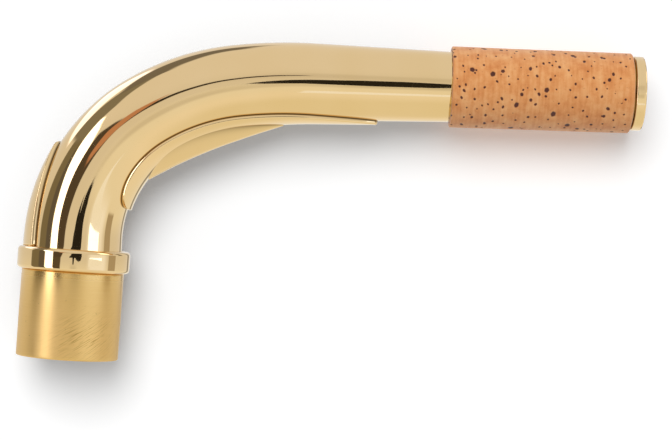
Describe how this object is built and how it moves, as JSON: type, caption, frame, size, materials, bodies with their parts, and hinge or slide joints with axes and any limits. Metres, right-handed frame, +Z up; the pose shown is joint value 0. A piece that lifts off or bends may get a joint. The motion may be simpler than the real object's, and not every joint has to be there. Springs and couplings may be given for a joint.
{
  "type": "saxophone neck",
  "caption": "Lacquered brass neck of a low saxophone: a conical tube bent through nearly a right angle, with a bare tenon and collar, a soldered brace and a corked mouthpiece end.",
  "frame": {"origin": "centre of the tenon's open end", "axes": "+Z up along the tenon's axis into the neck, +X towards the mouthpiece end; the XZ plane is the mirror plane"},
  "size_m": [0.1479, 0.027, 0.083],
  "materials": {
    "lacquered_brass": "polished and clear lacquered",
    "bare_brass": "satin, turned and lightly sanded",
    "cork": "sanded natural cork",
    "cement": "dried amber cement"
  },
  "bodies": {
    "root": {"neck_tube": "lacquered_brass", "tenon_sleeve": "bare_brass", "tenon_collar": "lacquered_brass", "back_plate": "lacquered_brass", "brace_saddle": "lacquered_brass", "brace_keel": "lacquered_brass", "cork_sleeve": "cork", "cork_cement": "cement", "end_ring": "lacquered_brass"}
  },
  "joints": []
}
